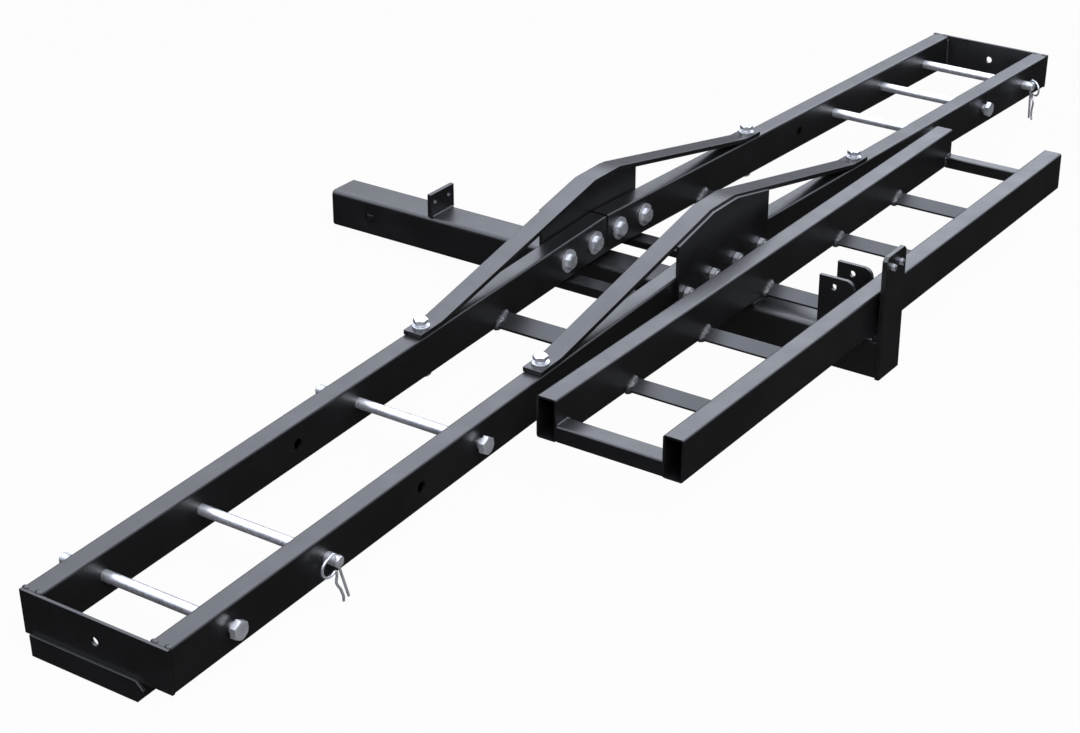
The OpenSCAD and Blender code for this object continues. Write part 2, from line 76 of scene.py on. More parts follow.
# Paint
PAINT = (0.0065, 0.0065, 0.0070, 1)
PAINT_DUST = (0.0105, 0.0105, 0.0110, 1)
PAINT_ROUGH = 0.40
PAINT_ORANGE_PEEL = (420.0, 0.12)
WELD_PAINT = (0.030, 0.031, 0.033, 1)
WELD_ROUGH = 0.34
WELD_SPATTER = (300.0, 0.35)
DUST_SCALE, DUST_DETAIL, DUST_SPAN = 9.0, 5.0, (0.42, 0.72)
SMEAR_SCALE, SMEAR_DETAIL, SMEAR_SPAN = 26.0, 4.0, (0.3, 0.75)
SMEAR_LESS, SMEAR_MORE = 0.05, 0.09
PAINT_IOR = 1.6
COAT_WEIGHT, COAT_ROUGH = 0.45, 0.27
PAINT_BUMP_HEIGHT = 0.0004

# Zinc, bright and dull
ZINC = (0.93, 0.94, 0.97, 1)
ZINC_DARK = (0.68, 0.70, 0.75, 1)
DULL = (0.20, 0.20, 0.21, 1)
DULL_DARK = (0.10, 0.10, 0.105, 1)
ZINC_METAL = 0.66
SPANGLE_SCALE, SPANGLE_DETAIL, SPANGLE_SPAN = 60.0, 4.0, (0.25, 0.55)
ZINC_ROUGH_SCALE, ZINC_ROUGH, ZINC_ROUGH_SPAN = 140.0, (0.26, 0.40), (0.3, 0.7)
ZINC_GRAIN_SCALE, ZINC_GRAIN_STRENGTH, ZINC_BUMP_HEIGHT = 900.0, 0.12, 0.0002

NOISE_DETAIL, BUMP_DETAIL = 3.0, 2.0

# The white surroundings: how strong reflections and diffuse light see them, by direction
SKY_LOW = 0.015
SKY_FADE = (0.13, 0.33)
SKY_PANEL = (-0.17, -0.07)
SKY_SIDE = 0.45
SKY_HIGH = 2.9
SKY_FRONT = (-0.45, -0.05)
SKY_FRONT_SHARE = 0.35
SKY_DIFFUSE = 0.40
SKY_TINT = (0.82, 0.87, 1.0, 1)
FLOOR_HALF = 14
FLOOR_COLOUR = (0.86, 0.86, 0.86, 1)
FLOOR_SEEN = 1.0
FLOOR_GLOSS = 0.028
SHADE_SHARE = 0.04

# Lamps: place and size in metres, power in watts
LIGHTS = {"key": ((-1.6, -2.8, 2.8), (2.4, 1.6), 55),
          "back": ((5.0, 3.4, 3.4), (5.0, 2.6), 14)}
LIGHT_TARGET = (0, -0.4, 0)

# Clean-up and shading of meshes (metres, degrees)
SAME_POINT = 1e-6
SAME_LEVEL = 1e-5
FLAT_ANGLE = 0.5
SMOOTH_PLATE, SMOOTH_HARDWARE, SMOOTH_ROUND = 35, 24, 60
FLAT_FACE_WEIGHT = 100

# Rolled edges of sheared plate: radius, and which edges have it (millimetres, degrees)
PLATE_EDGE = 0.7
PLATE_SHORTEST = 4
PLATE_SHARP = 30
PLATE_SEGMENTS = 4

# Hex heads and nuts, threads
HEX_CHAMFER = 0.93
HEX_CONE = 28
HEX_TURN = 30
HEX_POINTS = 72
THREAD_PITCH = 1.75
THREAD_DEPTH = 0.75
THREAD_CREST, THREAD_ROOT = 0.15, 0.5
THREAD_TIP = 1
TURN = 48

# Hardware: shank radius, width across flats, height of head and nut; the record's solids are
# a little larger, because the smaller sizes were read off after the record was made
SPLICE_RADIUS, SPLICE_FLATS, SPLICE_HEAD, SPLICE_NUT = 6.0, 16.5, 6.0, 7.0
SPLICE_SINK, SPLICE_TIP_SHORT, SPLICE_THREAD = 3.6, 3.6, 16
BRACE_RADIUS, BRACE_FLATS, BRACE_HEAD, BRACE_NUT = 5.0, 15.6, 4.8, 5.0
BRACE_TIP_SHORT, BRACE_THREAD = 4.0, 10
ROD_RADIUS, ROD_FLATS, ROD_HEAD, ROD_THREAD = 6.35, 19.0, 7.0, 24
# The free threaded end of each rod bolt of the left half stands this much further past its nut
ROD_TAIL = 20.0
HEAD_LAP = 1
WASHER_SHARE, WASHER_SOFT, WASHER_RIM = 0.92, 0.5, 0.4
SMALL_RADIUS, SMALL_FLATS = 2.5, 8.0
SMALL_HEAD = [(0, 1.9), (0.7, 3.1), (2.5, 3.8)]
SMALL_SHANK_START, SMALL_THREAD = 2, 7
ROD_TIP = 1.4
DISC_THICK = 5.0
DISC_INNER_RIM, DISC_OUTER_RIM, DISC_OUTER_DROP = 0.6, 0.8, 1

# The track: droop of its halves, and the middle between its two rails
DROOP = math.radians(2.45)
TRACK_Y = (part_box("rail_left_far")[1][1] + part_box("rail_left_near")[0][1]) / 2

# Side, distance of the rod from the joint, lean and turn of each hairpin, as in the CAD
HAIRPINS = {"hairpin_left": (-1, 763, 18, 4), "hairpin_right": (1, 905, -4, -56)}
JOINT_Z, RAIL_MIDDLE = 30.9, 25.4
CROSS_HOLE_Y = -107.25
WIRE_RADIUS, LEG_LENGTH = 1.5, 52.0
# The wire bends over the rod, runs across and round a part ring, turns back and goes down wavy
OVER_TOP, OVER_BEND = 11.0, 3.5
RING_RADIUS, RING_X, RING_END = 10.5, 11.4, -110
BACK_BEND = 2.2
WAVE_KNOTS = [(-14, 5.4), (-24, 9.2), (-38, 6.6), (-45, 6.2), (-52, 7.8)]
LEG_STEPS, OVER_STEPS, RING_STEPS, BACK_STEPS, WAVE_STEPS = 14, 6, 40, 8, 40
WIRE_SIDES = 12
WIRE_TIP, WIRE_TIP_SHARES = 0.45, (0.55, 0.9)

# Weld beads: radius, spacing of the ripples, unevenness
WELD_RADIUS, WELD_THIN, WELD_TIE = 2.6, 2.2, 2
WELD_RIPPLE = 2.4
RIPPLE_STEPS = 4
BEAD_SIDES, BEAD_LEAST_STEPS = 12, 6
BEAD_END, BEAD_END_STEPS = 0.6, 4
RIPPLE_SHARE = 0.10
SLOW_SHARE, SLOW_RATE, SLOW_START = 0.06, 0.37, 1.3
ROUND_SHARE, ROUND_RATE, ROUND_DRIFT = 0.05, 3, 0.21
# Weld mounds: points round, layers up (the first ring under the face, the last short of the
# top), unevenness as (waves round, share) and how it drifts along X
LUMP_POINTS, LUMP_LAYERS = 32, 7
LUMP_UNDER, LUMP_SHORT = 0.6, 0.2
LUMP_WAVES = ((7, 0.05), (13, 0.03))
LUMP_DRIFT = 90
# Where the beads and mounds lie (metres)
BAR_WELD = (0.003, 0.014, 0.008)
BASE_WELD = (0.044, 0.004)
POST_WELD = (0.006, 0.024)
POST_INSET, STOP_INSET, PLATE_INSET = 0.006, 0.003, 0.004
TIE_INSET, TIE_OUT = 0.002, 0.005
RAIL_WIDTH = 0.0254
END_INSET, END_LEAN = 0.004, 0.0021
CORNER_WELDS = (0.004, 0.021)
CORNER_SINK = 0.0003
CORNER_MOUND = (0.009, 0.006, 0.0022)
RAMP_INSET, RAMP_END = 0.002, 0.001

TUBES = ["hitch_tube", "rail_left_far", "rail_left_near", "rail_right_far", "rail_right_near",
         "ramp_rail_far", "ramp_rail_near", "ramp_wide_bar", "ramp_narrow_bar"]
RUNGS = ["ramp_rung_%d" % i for i in range(1, 6)]
PLATES = ["stop_plate", "tie_left", "tie_right", "joint_plate_far", "joint_plate_near",
          "brace_far", "brace_near", "end_plate_left", "end_plate_right", "track_bar_left",
          "track_bar_right", "hook_lip", "upright_plate", "keeper_strip", "ramp_bracket",
          "ramp_rest"] + RUNGS


def body_of(name):
    for body, names in frame["record"]["behaviour"]["bodies"].items():
        if name in names:
            return body
    raise ValueError(name)


# Materials

def new_material(name):
    mat = bpy.data.materials.new(name)
    mat.use_nodes = True
    nodes = mat.node_tree.nodes
    return mat, nodes, mat.node_tree.links, nodes["Principled BSDF"]


def noise(nodes, links, scale, detail=NOISE_DETAIL):
    coords = nodes.new("ShaderNodeTexCoord")
    tex = nodes.new("ShaderNodeTexNoise")
    tex.inputs["Scale"].default_value = scale
    tex.inputs["Detail"].default_value = detail
    links.new(coords.outputs["Object"], tex.inputs["Vector"])
    return tex.outputs["Fac"]


def ramp(nodes, links, source, span, low, high):
    """Colour that goes from low to high as the source crosses the span."""
    node = nodes.new("ShaderNodeValToRGB")
    for element, place, colour in zip(node.color_ramp.elements, span, (low, high)):
        element.position = place
        element.color = colour
    links.new(source, node.inputs["Fac"])
    return node.outputs["Color"]


def grey(value):
    return (value, value, value, 1)


def bump(nodes, links, shader, scale, strength, distance):
    node = nodes.new("ShaderNodeBump")
    node.inputs["Strength"].default_value = strength
    node.inputs["Distance"].default_value = distance
    links.new(noise(nodes, links, scale, BUMP_DETAIL), node.inputs["Height"])
    links.new(node.outputs["Normal"], shader.inputs["Normal"])


def paint_material(name, base, dusty, rough, peel):
    """Black paint with faint dust, uneven gloss under a coat, and a fine orange peel."""
    mat, nodes, links, shader = new_material(name)
    cloud = noise(nodes, links, DUST_SCALE, DUST_DETAIL)
    links.new(ramp(nodes, links, cloud, DUST_SPAN, base, dusty), shader.inputs["Base Color"])
    smear = noise(nodes, links, SMEAR_SCALE, SMEAR_DETAIL)
    links.new(ramp(nodes, links, smear, SMEAR_SPAN, grey(rough - SMEAR_LESS),
                   grey(rough + SMEAR_MORE)), shader.inputs["Roughness"])
    shader.inputs["IOR"].default_value = PAINT_IOR
    shader.inputs["Coat Weight"].default_value = COAT_WEIGHT
    shader.inputs["Coat Roughness"].default_value = COAT_ROUGH
    bump(nodes, links, shader, peel[0], peel[1], PAINT_BUMP_HEIGHT)
    return mat


def zinc_material(name, dark, light):
    """Plated steel with cloudy colour and gloss, and a fine grain."""
    mat, nodes, links, shader = new_material(name)
    cloud = noise(nodes, links, SPANGLE_SCALE, SPANGLE_DETAIL)
    links.new(ramp(nodes, links, cloud, SPANGLE_SPAN, dark, light), shader.inputs["Base Color"])
    low, high = ZINC_ROUGH
    gloss = noise(nodes, links, ZINC_ROUGH_SCALE)
    links.new(ramp(nodes, links, gloss, ZINC_ROUGH_SPAN, grey(low), grey(high)),
              shader.inputs["Roughness"])
    shader.inputs["Metallic"].default_value = ZINC_METAL
    bump(nodes, links, shader, ZINC_GRAIN_SCALE, ZINC_GRAIN_STRENGTH, ZINC_BUMP_HEIGHT)
    return mat


PAINTED = paint_material("black_paint", PAINT, PAINT_DUST, PAINT_ROUGH, PAINT_ORANGE_PEEL)
WELDED = paint_material("weld_paint", WELD_PAINT, WELD_PAINT, WELD_ROUGH, WELD_SPATTER)
ZINCED = zinc_material("bright_zinc", ZINC_DARK, ZINC)
DULLED = zinc_material("dull_zinc", DULL_DARK, DULL)


# Mesh helpers

def finish_mesh(bm, name, body, material, stands_for=(), smooth_angle=SMOOTH_PLATE):
    """Turn the bmesh into a piece that rides on a body and stands for the named nodes."""
    mesh = bpy.data.meshes.new(name)
    bmesh.ops.recalc_face_normals(bm, faces=bm.faces[:])
    for face in bm.faces:
        face.smooth = True
    limit = math.radians(smooth_angle)
    for edge in bm.edges:
        if len(edge.link_faces) != 2 or edge.calc_face_angle(0) > limit:
            edge.smooth = False
    bm.to_mesh(mesh)
    bm.free()
    obj = bpy.data.objects.new(name, mesh)
    bpy.context.scene.collection.objects.link(obj)
    mesh.materials.append(material)
    if material in (PAINTED, WELDED):
        # Without this, large flat faces would shade like cushions next to their rolled edges
        flat = obj.modifiers.new("flat_faces", "WEIGHTED_NORMAL")
        flat.keep_sharp = True
        flat.weight = FLAT_FACE_WEIGHT
    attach(obj, body)
    if stands_for:
        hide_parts(*stands_for)


def painted(bm, name):
    finish_mesh(bm, "painted_" + name, body_of(name), PAINTED, [name])


def hardware(bm, prefix, name, material=ZINCED, smooth_angle=SMOOTH_HARDWARE):
    finish_mesh(bm, prefix + name, body_of(name), material, [name], smooth_angle)


def welds(bm, name, body):
    finish_mesh(bm, name, body, WELDED, (), SMOOTH_ROUND)


def node_bmesh(name):
    """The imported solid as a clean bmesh: welded vertices, flat faces joined."""
    bm = bmesh.new()
    bm.from_mesh(frame["nodes"][name].data)
    bmesh.ops.remove_doubles(bm, verts=bm.verts[:], dist=SAME_POINT)
    bmesh.ops.dissolve_limit(bm, angle_limit=math.radians(FLAT_ANGLE), verts=bm.verts[:],
                             edges=bm.edges[:])
    return bm


def islands(name):
    """The separate solids of a node, each as its list of points, in the same order each run."""
    bm = node_bmesh(name)
    left, found = dict.fromkeys(bm.verts), []
    while left:
        stack, group = [left.popitem()[0]], []
        while stack:
            vert = stack.pop()
            group.append(vert.co.copy())
            for edge in vert.link_edges:
                other = edge.other_vert(vert)
                if other in left:
                    del left[other]
                    stack.append(other)
        found.append(group)
    bm.free()
    return found


def low_high(points):
    return (Vector([min(p[i] for p in points) for i in range(3)]),
            Vector([max(p[i] for p in points) for i in range(3)]))


def corners(name):
    low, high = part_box(name)
    return Vector(low), Vector(high)


def rounded(name):
    """The node again, with its long sharp edges rolled over as on sheared plate."""
    bm = node_bmesh(name)
    edges = [e for e in bm.edges
             if len(e.link_faces) == 2 and e.calc_length() > PLATE_SHORTEST * MM
             and e.calc_face_angle_signed(0) > math.radians(PLATE_SHARP)]
    bmesh.ops.bevel(bm, geom=edges, offset=PLATE_EDGE * MM, offset_type="OFFSET",
                    segments=PLATE_SEGMENTS, profile=0.5, affect="EDGES", clamp_overlap=True)
    painted(bm, name)


def recut(name):
    """The node again, with smooth rolled corners and crisp cut ends."""
    painted(node_bmesh(name), name)


def ring(bm, matrix, z, radii):
    """A closed ring of vertices about the matrix's Z axis, in metres; z is one height or a list."""
    count = len(radii)
    verts = []
    for i, radius in enumerate(radii):
        angle = 2 * math.pi * i / count
        height = z[i] if isinstance(z, list) else z
        verts.append(bm.verts.new(matrix @ Vector((radius * math.cos(angle),
                                                   radius * math.sin(angle), height))))
    return verts


def skin(bm, rings):
    """Faces between the rings, and a face over each end."""
    for low, high in zip(rings, rings[1:]):
        for i in range(len(low)):
            j = (i + 1) % len(low)
            bm.faces.new((low[i], low[j], high[j], high[i]))
    bm.faces.new(rings[0][::-1])
    bm.faces.new(rings[-1])


def lathe(bm, matrix, profile, count=TURN):
    """Solid of revolution about the matrix's Z axis; profile is a list of (z, radius)."""
    skin(bm, [ring(bm, matrix, z * MM, [r * MM] * count) for z, r in profile])


def hexagon(bm, matrix, flats, low, high, chamfer_low, chamfer_high):
    """Hex prism whose corners are turned off by a shallow cone, as on a real head or nut."""
    matrix = matrix @ Matrix.Rotation(math.radians(HEX_TURN), 4, "Z")
    step = math.pi / 3
    flat = flats / 2
    radii, drop = [], []
    for i in range(HEX_POINTS):
        angle = (2 * math.pi * i / HEX_POINTS) % step - step / 2
        radius = flat / math.cos(angle)
        radii.append(radius * MM)
        drop.append(max(0.0, radius - flat * HEX_CHAMFER) * math.tan(math.radians(HEX_CONE)))
    face = [flat * HEX_CHAMFER * MM] * HEX_POINTS
    rings = []
    if chamfer_low:
        rings.append(ring(bm, matrix, low * MM, face))
    rings.append(ring(bm, matrix, [(low + (d if chamfer_low else 0)) * MM for d in drop], radii))
    rings.append(ring(bm, matrix, [(high - (d if chamfer_high else 0)) * MM for d in drop], radii))
    if chamfer_high:
        rings.append(ring(bm, matrix, high * MM, face))
    skin(bm, rings)


def thread(start, end, radius):
    """Profile of a threaded end from start to end, its tip chamfered."""
    length = end - start - THREAD_TIP
    turns = max(1, int(length / THREAD_PITCH))
    pitch = length / turns
    points = []
    for i in range(turns):
        z = start + i * pitch
        points += [(z, radius), (z + pitch * THREAD_CREST, radius),
                   (z + pitch * THREAD_ROOT, radius - THREAD_DEPTH),
                   (z + pitch * (1 - THREAD_CREST), radius)]
    return points + [(end - THREAD_TIP, radius), (end, radius - THREAD_TIP)]


def along(origin, direction):
    """Matrix whose Z runs from the origin along the direction."""
    turned = Vector(direction).to_track_quat("Z", "Y").to_matrix().to_4x4()
    return Matrix.Translation(origin) @ turned


# Hardware

def bolts(name, radius, flats, head, axis_of, thread_length, sink=0.0, short=0.0, tail=None):
    """Detailed bolts in place of a node's plain ones: chamfered head, shank, thread, tip.

    sink moves the head into the metal, short cuts the tip, tail gives a longer threaded end.
    """
    bm = bmesh.new()
    for points in islands(name):
        origin, direction, length = axis_of(points)
        matrix = along(origin + Vector(direction) * sink * MM, direction)
        extra = tail(origin) if tail else 0.0
        length += extra - sink - short
        hexagon(bm, matrix, flats, 0, head, True, False)
        lathe(bm, matrix, [(head - HEAD_LAP, radius)]
              + thread(length - thread_length - extra, length, radius))
    hardware(bm, "detailed_", name)


def nuts(name, flats, axis_of, height=None):
    bm = bmesh.new()
    for points in islands(name):
        origin, direction, length = axis_of(points)
        hexagon(bm, along(origin, direction), flats, 0, height or length, True, True)
    hardware(bm, "detailed_", name)


def washers(name, axis_of):
    bm = bmesh.new()
    for points in islands(name):
        origin, direction, length = axis_of(points)
        matrix = along(origin, direction)
        inverse = matrix.inverted()
        outer = max((inverse @ p).xy.length for p in points) / MM * WASHER_SHARE
        lathe(bm, matrix, [(0, outer - WASHER_SOFT), (WASHER_SOFT * WASHER_RIM, outer),
                           (length - WASHER_SOFT, outer), (length, outer - WASHER_SOFT)])
    hardware(bm, "detailed_", name)


def cross_axis(outwards):
    """Axis finder for bolts along Y: heads at the low end, or between the rails if outwards."""
    def find(points):
        low, high = low_high(points)
        middle = (low + high) / 2
        sign = 1 if not outwards or middle.y > TRACK_Y else -1
        start = low.y if sign > 0 else high.y
        return Vector((middle.x, start, middle.z)), (0, sign, 0), (high.y - low.y) / MM
    return find


def upright_axis(points):
    """Axis of a bolt that stands square on a rail's top: its upper end, downwards."""
    low, high = low_high(points)
    side = 1 if (low.x + high.x) > 0 else -1
    down = Vector((-side * math.sin(DROOP), 0, -math.cos(DROOP)))
    ends = sorted(p.dot(down) for p in points)
    middle = sum(points, Vector()) / len(points)
    top = [p for p in points if p.dot(down) < ends[0] + SAME_LEVEL]
    origin = sum(top, Vector()) / len(top)
    return Vector((origin.x, middle.y, origin.z)), down, (ends[-1] - ends[0]) / MM


def small_bolts(name):
    """The upright plate's two bolts: low round heads on its outer face."""
    bm = bmesh.new()
    for points in islands(name):
        low, high = low_high(points)
        middle = (low + high) / 2
        length = (high.y - low.y) / MM
        matrix = along(Vector((middle.x, high.y, middle.z)), (0, -1, 0))
        lathe(bm, matrix, SMALL_HEAD)
        lathe(bm, matrix, [(SMALL_SHANK_START, SMALL_RADIUS)]
              + thread(length - SMALL_THREAD, length, SMALL_RADIUS))
    hardware(bm, "detailed_", name, DULLED)


def hairpin_rod(name):
    """Turned rod: chamfered tip past the cross hole, disc head with rounded rims."""
    low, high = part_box(name)
    length = (high[1] - low[1]) / MM
    disc = (high[0] - low[0]) / MM / 2
    under = length - DISC_THICK
    bm = bmesh.new()
    start = Vector(((low[0] + high[0]) / 2, low[1], (low[2] + high[2]) / 2))
    matrix = along(start, (0, 1, 0))
    lathe(bm, matrix, [(0, ROD_RADIUS - ROD_TIP), (ROD_TIP, ROD_RADIUS), (under, ROD_RADIUS),
                       (under, disc - DISC_INNER_RIM), (under + DISC_INNER_RIM, disc),
                       (length - DISC_OUTER_RIM, disc), (length, disc - DISC_OUTER_DROP)])
    hardware(bm, "turned_", name)


# Hairpins

def arc(centre, radius, start, end, steps):
    angles = [math.radians(start + (end - start) * i / steps) for i in range(steps + 1)]
    return [(centre[0] + radius * math.cos(a), centre[1] + radius * math.sin(a)) for a in angles]


def eased(knots, z):
    """Offset at a height, which eases from knot to knot."""
    for (z0, x0), (z1, x1) in zip(knots, knots[1:]):
        if z1 <= z <= z0:
            return x0 + (x1 - x0) * (1 - math.cos(math.pi * (z0 - z) / (z0 - z1))) / 2
    return knots[-1][1]


def hairpin_path():
    """Centre line in the clip's own plane, from the straight leg's tip to the turned-out foot."""
    bend_z = OVER_TOP - OVER_BEND
    points = [(0.0, -LEG_LENGTH + (LEG_LENGTH + OVER_TOP - OVER_BEND) * i / LEG_STEPS)
              for i in range(LEG_STEPS)]
    points += arc((OVER_BEND, bend_z), OVER_BEND, 180, 90, OVER_STEPS)
    points += arc((RING_X, OVER_TOP - RING_RADIUS), RING_RADIUS, 90, RING_END, RING_STEPS)
    end = math.radians(RING_END)
    heading = (math.sin(end), -math.cos(end))
    last = points[-1]
    turn = (last[0] - BACK_BEND * heading[1], last[1] + BACK_BEND * heading[0])
    start = math.degrees(math.atan2(last[1] - turn[1], last[0] - turn[0]))
    points += arc(turn, BACK_BEND, start, 180, BACK_STEPS)[1:]
    low = points[-1]
    knots = [low[::-1]] + WAVE_KNOTS
    for i in range(1, WAVE_STEPS + 1):
        z = low[1] - (LEG_LENGTH + low[1]) * i / WAVE_STEPS
        points.append((eased(knots, z), z))
    return points


def sweep(bm, matrix, path, radius):
    """Round wire along a path in the matrix's X Z plane, its two ends rounded over."""
    stations = [Vector((x, 0, z)) * MM for x, z in path]
    across = Vector((0, 1, 0))
    tip, rim = WIRE_TIP_SHARES
    rings = []
    for i, point in enumerate(stations):
        ahead = stations[min(i + 1, len(stations) - 1)] - stations[max(i - 1, 0)]
        ahead = ahead.normalized()
        out = ahead.cross(across)
        sections = [(0.0, 1.0)]
        if i == 0:
            sections = [(0.0, tip), (WIRE_TIP, rim)]
        elif i == len(stations) - 1:
            sections = [(-WIRE_TIP, rim), (0.0, tip)]
        for inward, share in sections:
            centre = point + ahead * inward * radius * MM
            verts = []
            for k in range(WIRE_SIDES):
                angle = 2 * math.pi * k / WIRE_SIDES
                spoke = out * math.cos(angle) + across * math.sin(angle)
                verts.append(bm.verts.new(matrix @ (centre + spoke * radius * share * MM)))
            rings.append(verts)
    skin(bm, rings)


def hairpin(name):
    side, station, lean, turn = HAIRPINS[name]
    rod_x = side * (station * math.cos(DROOP) + RAIL_MIDDLE * math.sin(DROOP)) * MM
    rod_z = (JOINT_Z - station * math.sin(DROOP) + RAIL_MIDDLE * math.cos(DROOP)) * MM
    matrix = (Matrix.Translation((rod_x, TRACK_Y + CROSS_HOLE_Y * MM, rod_z))
              @ Matrix.Rotation(math.radians(side * lean), 4, "Y")
              @ Matrix.Rotation(math.radians(180 - turn), 4, "Z"))
    bm = bmesh.new()
    sweep(bm, matrix, hairpin_path(), WIRE_RADIUS)
    hardware(bm, "wire_", name, smooth_angle=SMOOTH_ROUND)


# Welds: places in metres, the beads' radius in millimetres

def bead(bm, start, end, radius=WELD_RADIUS):
    """A rippled weld bead from start to end."""
    start, end = Vector(start), Vector(end)
    length = (end - start).length
    matrix = along(start, end - start)
    steps = max(BEAD_LEAST_STEPS, int(length / (WELD_RIPPLE * MM / RIPPLE_STEPS)))
    rings = []
    for i in range(steps + 1):
        z = length * i / steps
        phase = z / (WELD_RIPPLE * MM) * 2 * math.pi
        fade = min(1.0, (i + BEAD_END) / BEAD_END_STEPS,
                   (steps - i + BEAD_END) / BEAD_END_STEPS) ** 0.5
        ripple = (1 + RIPPLE_SHARE * math.sin(phase)
                  + SLOW_SHARE * math.sin(phase * SLOW_RATE + SLOW_START))
        swell = radius * MM * fade * ripple
        radii = [swell * (1 + ROUND_SHARE * math.sin(ROUND_RATE * k + phase * ROUND_DRIFT))
                 for k in range(BEAD_SIDES)]
        rings.append(ring(bm, matrix, z, radii))
    skin(bm, rings)


def lump(bm, at, face_normal, long_axis, length, width, height):
    """An oval, slightly uneven weld mound on a face, such as round a bar's end."""
    z, x = Vector(face_normal).normalized(), Vector(long_axis).normalized()
    y = z.cross(x)
    matrix = Matrix.Translation(at) @ Matrix((x, y, z)).transposed().to_4x4()
    (waves, share), (fine_waves, fine_share) = LUMP_WAVES
    rings = []
    for i in range(LUMP_LAYERS + 1):
        rise = math.pi / 2 * (i - LUMP_UNDER) / (LUMP_LAYERS - LUMP_SHORT)
        radii = []
        for k in range(LUMP_POINTS):
            angle = 2 * math.pi * k / LUMP_POINTS
            oval = 1 / math.hypot(math.cos(angle) / (length / 2), math.sin(angle) / (width / 2))
            uneven = (1 + share * math.sin(waves * angle + at[0] * LUMP_DRIFT)
                      + fine_share * math.sin(fine_waves * angle))
            radii.append(oval * math.cos(rise) * uneven)
        rings.append(ring(bm, matrix, height * math.sin(rise), radii))
    skin(bm, rings)


def bar_end_welds(bm, name):
    """The weld mounds where a tilted bar meets the rail on either side."""
    longer, width, height = BAR_WELD
    low, high = corners(name)
    middle = (low + high) / 2
    slope = Vector((high.x - low.x, 0, high.z - low.z))
    for y, normal in ((low.y, (0, 1, 0)), (high.y, (0, -1, 0))):
        lump(bm, (middle.x, y, middle.z), normal, slope, slope.length + longer, width, height)


def tube_welds(bm):
    """Beads where the bracket, the upright plate and the stop plate stand on the hitch tube."""
    tube_low, tube_high = corners("hitch_tube")
    far_of_post = corners("upright_plate")[1].y
    far_of_base = corners("ramp_bracket")[1].y
    near_of_stop = corners("stop_plate")[0].y
    top = tube_high.z
    for x in (tube_low.x, tube_high.x):
        bead(bm, (x, far_of_base - BASE_WELD[0], top), (x, far_of_base - BASE_WELD[1], top),
             WELD_THIN)
        bead(bm, (x, far_of_post + POST_WELD[0], top), (x, far_of_post + POST_WELD[1], top),
             WELD_THIN)
    bead(bm, (tube_low.x + POST_INSET, far_of_post, tube_low.z),
         (tube_high.x - POST_INSET, far_of_post, tube_low.z))
    bead(bm, (tube_low.x + STOP_INSET, near_of_stop, top),
         (tube_high.x - STOP_INSET, near_of_stop, top))


def joint_welds(bm):
    """Beads where the joint plates stand on the hitch tube and on the cross ties."""
    tube_low, tube_high = corners("hitch_tube")
    for plate, sign in (("joint_plate_far", 1), ("joint_plate_near", -1)):
        low, high = corners(plate)
        y = high.y if sign > 0 else low.y
        bead(bm, (tube_low.x + PLATE_INSET, y, low.z), (tube_high.x - PLATE_INSET, y, low.z))
        for tie in ("tie_left", "tie_right"):
            t_low, t_high = corners(tie)
            tie_y = y - sign * TIE_OUT
            bead(bm, (t_low.x + TIE_INSET, tie_y, t_high.z),
                 (t_high.x - TIE_INSET, tie_y, t_high.z), WELD_TIE)


def end_plate_welds(bm):
    """Beads inside the track's end plates, then the mounds on their top corners."""
    ends = ((-1, "end_plate_left"), (1, "end_plate_right"))
    for side, name in ends:
        low, high = corners(name)
        inner = high.x if side < 0 else low.x
        for y in (low.y + RAIL_WIDTH, high.y - RAIL_WIDTH):
            bead(bm, (inner, y, low.z + END_INSET),
                 (inner - side * END_LEAN, y, high.z - END_INSET), WELD_THIN)
    outer, inward = CORNER_WELDS
    for side, name in ends:
        low, high = corners(name)
        seam = high.x if side < 0 else low.x
        for y in (low.y + outer, low.y + inward, high.y - inward, high.y - outer):
            lump(bm, (seam, y, high.z - CORNER_SINK), (0, 0, 1), (0, 1, 0), *CORNER_MOUND)


def carrier_welds():
    bm = bmesh.new()
    tube_welds(bm)
    joint_welds(bm)
    for name in ("track_bar_left", "track_bar_right"):
        bar_end_welds(bm, name)
    end_plate_welds(bm)
    welds(bm, "carrier_welds", "carrier")


def ramp_welds():
    bm = bmesh.new()
    for name in RUNGS:
        bar_end_welds(bm, name)
    for name, inner in (("ramp_wide_bar", 1), ("ramp_narrow_bar", -1)):
        low, high = corners(name)
        x = high.x if inner > 0 else low.x
        for y in (low.y, high.y):
            bead(bm, (x, y, low.z + RAMP_INSET), (x, y, high.z), WELD_THIN)
            bead(bm, (low.x + RAMP_INSET, y, high.z), (high.x - RAMP_END, y, high.z), WELD_THIN)
    welds(bm, "ramp_welds", "ramp")


# Stage, light and camera

